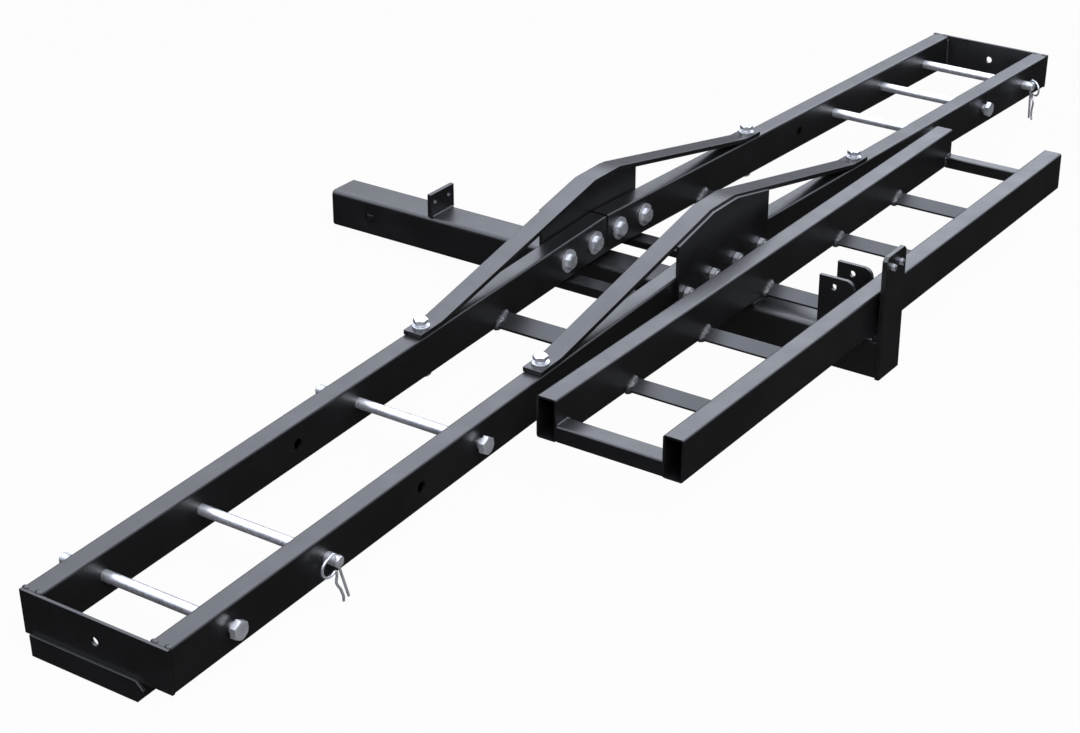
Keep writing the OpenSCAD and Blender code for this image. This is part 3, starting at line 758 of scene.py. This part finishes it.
def floor_material(name):
    """Floor: near white to the camera with a share of the real shadow, dark in reflections."""
    mat = bpy.data.materials.new(name)
    mat.use_nodes = True
    nodes, links = mat.node_tree.nodes, mat.node_tree.links
    nodes.clear()
    out = nodes.new("ShaderNodeOutputMaterial")
    diffuse = nodes.new("ShaderNodeBsdfDiffuse")
    diffuse.inputs["Color"].default_value = FLOOR_COLOUR
    seen = nodes.new("ShaderNodeEmission")
    seen.inputs["Strength"].default_value = FLOOR_SEEN
    mirrored = nodes.new("ShaderNodeEmission")
    mirrored.inputs["Strength"].default_value = FLOOR_GLOSS
    path = nodes.new("ShaderNodeLightPath")
    either = math_node(nodes, links, "MAXIMUM", path.outputs["Is Glossy Ray"],
                       path.outputs["Is Transmission Ray"])
    first = nodes.new("ShaderNodeMixShader")
    links.new(either, first.inputs["Fac"])
    links.new(diffuse.outputs[0], first.inputs[1])
    links.new(mirrored.outputs[0], first.inputs[2])
    shadowed = nodes.new("ShaderNodeMixShader")
    shadowed.inputs["Fac"].default_value = 1 - SHADE_SHARE
    links.new(diffuse.outputs[0], shadowed.inputs[1])
    links.new(seen.outputs[0], shadowed.inputs[2])
    second = nodes.new("ShaderNodeMixShader")
    links.new(path.outputs["Is Camera Ray"], second.inputs["Fac"])
    links.new(first.outputs[0], second.inputs[1])
    links.new(shadowed.outputs[0], second.inputs[2])
    links.new(second.outputs[0], out.inputs["Surface"])
    return mat


def build_floor():
    mesh = bpy.data.meshes.new("floor")
    half, z = FLOOR_HALF, CAD_BOX[0][2]
    mesh.from_pydata([(-half, -half, z), (half, -half, z), (half, half, z), (-half, half, z)],
                     [], [(0, 1, 2, 3)])
    floor = bpy.data.objects.new("floor", mesh)
    bpy.context.scene.collection.objects.link(floor)
    mesh.materials.append(floor_material("floor_white"))


def map_range(nodes, links, value, span, levels):
    node = nodes.new("ShaderNodeMapRange")
    node.inputs["From Min"].default_value, node.inputs["From Max"].default_value = span
    node.inputs["To Min"].default_value, node.inputs["To Max"].default_value = levels
    links.new(value, node.inputs["Value"])
    return node.outputs["Result"]


def math_node(nodes, links, operation, first, second):
    node = nodes.new("ShaderNodeMath")
    node.operation = operation
    links.new(first, node.inputs[0])
    links.new(second, node.inputs[1])
    return node.outputs[0]


def build_world():
    """White to the camera; reflections see a pale sky, dimmer to +Y and -Y, dark near the floor."""
    world = bpy.data.worlds.new("studio")
    bpy.context.scene.world = world
    world.use_nodes = True
    nodes, links = world.node_tree.nodes, world.node_tree.links
    background = nodes["Background"]
    path = nodes.new("ShaderNodeLightPath")
    coords = nodes.new("ShaderNodeTexCoord")
    split = nodes.new("ShaderNodeSeparateXYZ")
    links.new(coords.outputs["Generated"], split.inputs[0])
    lean = math_node(nodes, links, "SUBTRACT", split.outputs["Z"], split.outputs["Y"])
    panel = map_range(nodes, links, lean, SKY_PANEL, (SKY_SIDE, SKY_HIGH))
    rise = map_range(nodes, links, split.outputs["Z"], SKY_FADE, (SKY_LOW, 1.0))
    front = map_range(nodes, links, split.outputs["Y"], SKY_FRONT, (SKY_FRONT_SHARE, 1.0))
    sky = math_node(nodes, links, "MULTIPLY", panel, rise)
    sky = math_node(nodes, links, "MULTIPLY", sky, front)
    glossy = nodes.new("ShaderNodeMix")
    glossy.inputs["A"].default_value = SKY_DIFFUSE
    links.new(path.outputs["Is Glossy Ray"], glossy.inputs["Factor"])
    links.new(sky, glossy.inputs["B"])
    seen = nodes.new("ShaderNodeMix")
    seen.inputs["B"].default_value = 1.0
    links.new(path.outputs["Is Camera Ray"], seen.inputs["Factor"])
    links.new(glossy.outputs["Result"], seen.inputs["A"])
    links.new(seen.outputs["Result"], background.inputs["Strength"])
    tint = nodes.new("ShaderNodeMix")
    tint.data_type = "RGBA"
    lit, viewed = [socket for socket in tint.inputs if socket.type == "RGBA"]
    lit.default_value = SKY_TINT
    viewed.default_value = (1, 1, 1, 1)
    links.new(path.outputs["Is Camera Ray"], tint.inputs["Factor"])
    links.new(next(socket for socket in tint.outputs if socket.type == "RGBA"),
              background.inputs["Color"])


def build_light(name, at, size, power):
    data = bpy.data.lights.new(name, "AREA")
    data.shape = "RECTANGLE"
    data.size, data.size_y = size
    data.energy = power
    obj = bpy.data.objects.new(name, data)
    obj.location = at
    aim = Vector(LIGHT_TARGET) - Vector(at)
    obj.rotation_euler = aim.to_track_quat("-Z", "Y").to_euler()
    bpy.context.scene.collection.objects.link(obj)


def build_camera():
    data = bpy.data.cameras.new("camera")
    data.sensor_fit = "HORIZONTAL"
    data.sensor_width = CAMERA_SENSOR
    data.lens = CAMERA_LENS
    data.clip_end = CAMERA_FAR
    obj = bpy.data.objects.new("camera", data)
    yaw, pitch = math.radians(CAMERA_YAW), math.radians(CAMERA_PITCH)
    forward = Vector((math.sin(yaw) * math.cos(pitch), math.cos(yaw) * math.cos(pitch),
                      -math.sin(pitch)))
    obj.location = CAMERA_AT
    obj.rotation_euler = forward.to_track_quat("-Z", "Y").to_euler()
    bpy.context.scene.collection.objects.link(obj)
    bpy.context.scene.camera = obj


for tube in TUBES:
    recut(tube)
for plate in PLATES:
    rounded(plate)

bolts("splice_bolts", SPLICE_RADIUS, SPLICE_FLATS, SPLICE_HEAD, cross_axis(True), SPLICE_THREAD,
      sink=SPLICE_SINK, short=SPLICE_TIP_SHORT)
washers("splice_washers", cross_axis(True))
nuts("splice_nuts", SPLICE_FLATS, cross_axis(True), SPLICE_NUT)
bolts("rod_bolts", ROD_RADIUS, ROD_FLATS, ROD_HEAD, cross_axis(False), ROD_THREAD,
      tail=lambda origin: ROD_TAIL if origin.x < 0 else 0.0)
nuts("rod_nuts", ROD_FLATS, cross_axis(False))
bolts("brace_bolts", BRACE_RADIUS, BRACE_FLATS, BRACE_HEAD, upright_axis, BRACE_THREAD,
      short=BRACE_TIP_SHORT)
washers("brace_washers", upright_axis)
nuts("brace_nuts", BRACE_FLATS, upright_axis, BRACE_NUT)
small_bolts("upright_bolts")
nuts("upright_nuts", SMALL_FLATS, cross_axis(False))
for rod in ("hairpin_rod_left", "hairpin_rod_right"):
    hairpin_rod(rod)
for clip in HAIRPINS:
    hairpin(clip)
carrier_welds()
ramp_welds()

build_floor()
build_world()
for lamp, (at, size, power) in LIGHTS.items():
    build_light(lamp, at, size, power)
build_camera()
bpy.context.scene.view_settings.view_transform = "Standard"
